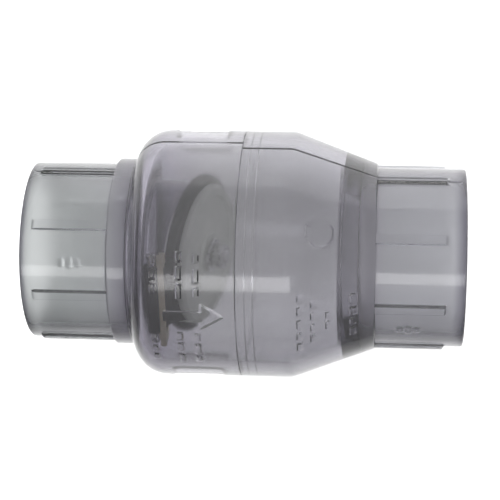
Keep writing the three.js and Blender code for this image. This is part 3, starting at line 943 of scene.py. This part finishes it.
def stainless_steel():
    material, nodes, links, shader = new_material("stainless_steel")
    drawn = noise(nodes, links, scale=900, detail=4.0)
    tint = colour_ramp(nodes, links, drawn, (0.52, 0.52, 0.53), (0.72, 0.72, 0.72))
    links.new(tint.outputs["Color"], shader.inputs["Base Color"])
    gloss = value_range(nodes, links, drawn, low=0.22, high=0.4)
    links.new(gloss.outputs["Result"], shader.inputs["Roughness"])
    links.new(bump(nodes, links, drawn, 0.01 * MM).outputs["Normal"], shader.inputs["Normal"])
    shader.inputs["Metallic"].default_value = 1.0
    return material


def dress(piece, material, body, slot, *nodes):
    piece.data.materials.clear()
    piece.data.materials.append(material)
    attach(piece, body)
    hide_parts(*nodes)


# ---- Studio ----

def make_camera():
    """A long lens almost straight above the valve, leaned over so that the hinge is below the middle.

    The valve's axes are first worked out in the view, as right, down and away.
    """
    yaw, roll, seam = VIEW_YAW, VIEW_ROLL, SEAM_IN_VIEW
    axis = Vector((math.cos(yaw) * math.cos(roll), math.cos(yaw) * math.sin(roll), -math.sin(yaw)))
    upright = Vector((math.sin(roll), -math.cos(roll), 0))
    near = axis.cross(upright).normalized()
    side = math.sin(VALVE_ROLL) * near + math.cos(VALVE_ROLL) * upright
    top = math.cos(VALVE_ROLL) * near - math.sin(VALVE_ROLL) * upright
    right = Vector((axis.x, side.x, top.x))
    up = -Vector((axis.y, side.y, top.y))
    back = -Vector((axis.z, side.z, top.z))
    data = bpy.data.cameras.new("camera")
    data.sensor_width = SENSOR_WIDTH
    data.lens = LENS
    data.clip_start, data.clip_end = 0.01, 20
    camera = bpy.data.objects.new("camera", data)
    bpy.context.scene.collection.objects.link(camera)
    place = Vector((SEAM_X, 0, 0)) - Vector((axis.dot(seam), side.dot(seam), top.dot(seam)))
    camera.matrix_world = Matrix.Translation(place) @ Matrix((right, up, back)).transposed().to_4x4()
    bpy.context.scene.camera = camera
    return right, up, back


def area_light(name, direction, along, distance, length, width, power, reflected=True):
    """A rectangular lamp that faces the origin from a direction, with its length turned towards along.

    One that isn't reflected lights surfaces, but doesn't show in or through the plastic.
    """
    data = bpy.data.lights.new(name, "AREA")
    data.shape = "RECTANGLE"
    data.size, data.size_y = length, width
    data.energy = power
    light = bpy.data.objects.new(name, data)
    bpy.context.scene.collection.objects.link(light)
    back = direction.normalized()
    x_axis = (along - along.dot(back) * back).normalized()
    y_axis = back.cross(x_axis)
    turn = Matrix((x_axis, y_axis, back)).transposed().to_4x4()
    light.matrix_world = Matrix.Translation(back * distance) @ turn
    light.visible_glossy = reflected
    light.visible_transmission = reflected
    return light


def make_floor():
    """A matte white table whose middle glows, a painted pool of light under the valve."""
    size, z = FLOOR_HALF_SIZE, cad_low.z - 0.2 * MM
    mesh = bpy.data.meshes.new("floor")
    corners = [(-size, -size, z), (size, -size, z), (size, size, z), (-size, size, z)]
    mesh.from_pydata(corners, [], [(0, 1, 2, 3)])
    floor = add_object("studio_floor", mesh)
    material, nodes, links, shader = new_material("studio_white")
    where = nodes.new("ShaderNodeTexCoord")
    distance = nodes.new("ShaderNodeVectorMath")
    distance.operation = "LENGTH"
    links.new(where.outputs["Object"], distance.inputs[0])
    # painted light: the floor's emission, strongest in its middle and fading out
    pool = nodes.new("ShaderNodeMapRange")
    pool.interpolation_type = "SMOOTHSTEP"
    pool.inputs["From Min"].default_value = GLOW_FADE_START
    pool.inputs["From Max"].default_value = GLOW_FADE_END
    pool.inputs["To Min"].default_value = FLOOR_GLOW
    pool.inputs["To Max"].default_value = 0
    links.new(distance.outputs["Value"], pool.inputs["Value"])
    links.new(pool.outputs["Result"], shader.inputs["Emission Strength"])
    shader.inputs["Base Color"].default_value = (0.92, 0.92, 0.92, 1)
    shader.inputs["Roughness"].default_value = 0.9
    shader.inputs["Emission Color"].default_value = (1, 1, 1, 1)
    mesh.materials.append(material)


def make_world(bright_side, low, high):
    """A soft white studio: of strength high towards one side, easing to low square to it and beyond."""
    world = bpy.data.worlds.new("studio")
    bpy.context.scene.world = world
    world.use_nodes = True
    nodes, links = world.node_tree.nodes, world.node_tree.links
    where = nodes.new("ShaderNodeTexCoord")
    towards = nodes.new("ShaderNodeVectorMath")
    towards.operation = "DOT_PRODUCT"
    towards.inputs[1].default_value = bright_side.normalized()
    links.new(where.outputs["Generated"], towards.inputs[0])
    strength = nodes.new("ShaderNodeMapRange")
    strength.interpolation_type = "SMOOTHSTEP"
    strength.inputs["From Min"].default_value = -0.1
    strength.inputs["From Max"].default_value = 0.9
    strength.inputs["To Min"].default_value = low
    strength.inputs["To Max"].default_value = high
    links.new(towards.outputs["Value"], strength.inputs["Value"])
    shade = nodes["Background"]
    shade.inputs["Color"].default_value = (1, 1, 1, 1)
    links.new(strength.outputs["Result"], shade.inputs["Strength"])


def main():
    right, up, back = make_camera()
    make_floor()
    make_world(back + up / 2, low=0.35, high=0.75)
    key_direction = back * math.cos(KEY_ANGLE) - up * math.sin(KEY_ANGLE)
    area_light("key", key_direction, right, distance=0.9, length=1.0, width=0.22, power=2.5)
    fill_direction, flow = Vector((-0.2, 0.8, 0.6)), Vector((1, 0, 0))
    area_light("fill", fill_direction, flow, distance=0.8, length=0.7, width=0.7, power=8, reflected=False)
    scene = bpy.context.scene
    scene.view_settings.view_transform = "Standard"
    scene.cycles.max_bounces = 24
    scene.cycles.transmission_bounces = 24

    pvc = clear_pvc()
    steel = stainless_steel()
    rubber_tones = (0.010, 0.010, 0.011), (0.022, 0.022, 0.024)
    pale_tones = (0.74, 0.77, 0.71), (0.82, 0.85, 0.79)
    cream_tones = (0.72, 0.65, 0.46), (0.80, 0.74, 0.56)
    rubber_finish = {"roughness": 0.55, "grain_scale": 1500, "bump_distance": 0.03 * MM}
    plastic_finish = {"roughness": 0.4, "grain_scale": 900, "bump_distance": 0.015 * MM}
    rubber = moulded_material("black_rubber", *rubber_tones, **rubber_finish)
    pale = moulded_material("pale_plastic", *pale_tones, **plastic_finish)
    cream = moulded_material("cream_plastic", *cream_tones, **plastic_finish)
    dress(build_inlet_body(), pvc, "valve_body", "clear_pvc", "inlet_body")
    dress(build_outlet_body(), pvc, "valve_body", "clear_pvc", "outlet_body")
    dress(build_pin(), steel, "valve_body", "stainless", "hinge_pin")
    dress(build_keeper(), cream, "valve_body", "cream_plastic", "hinge_keeper")
    dress(build_seal(), rubber, "flapper", "black_rubber", "flapper_seal")
    dress(build_plate(), pale, "flapper", "pale_plastic", "flapper_plate")
    dress(build_backing(), pale, "flapper", "pale_plastic", "flapper_backing")
    dress(build_bolt(), steel, "flapper", "stainless", "flapper_bolt")
    dress(build_washer(), steel, "flapper", "stainless", "flapper_washer")
    dress(build_nut(), steel, "flapper", "stainless", "flapper_nut")


main()
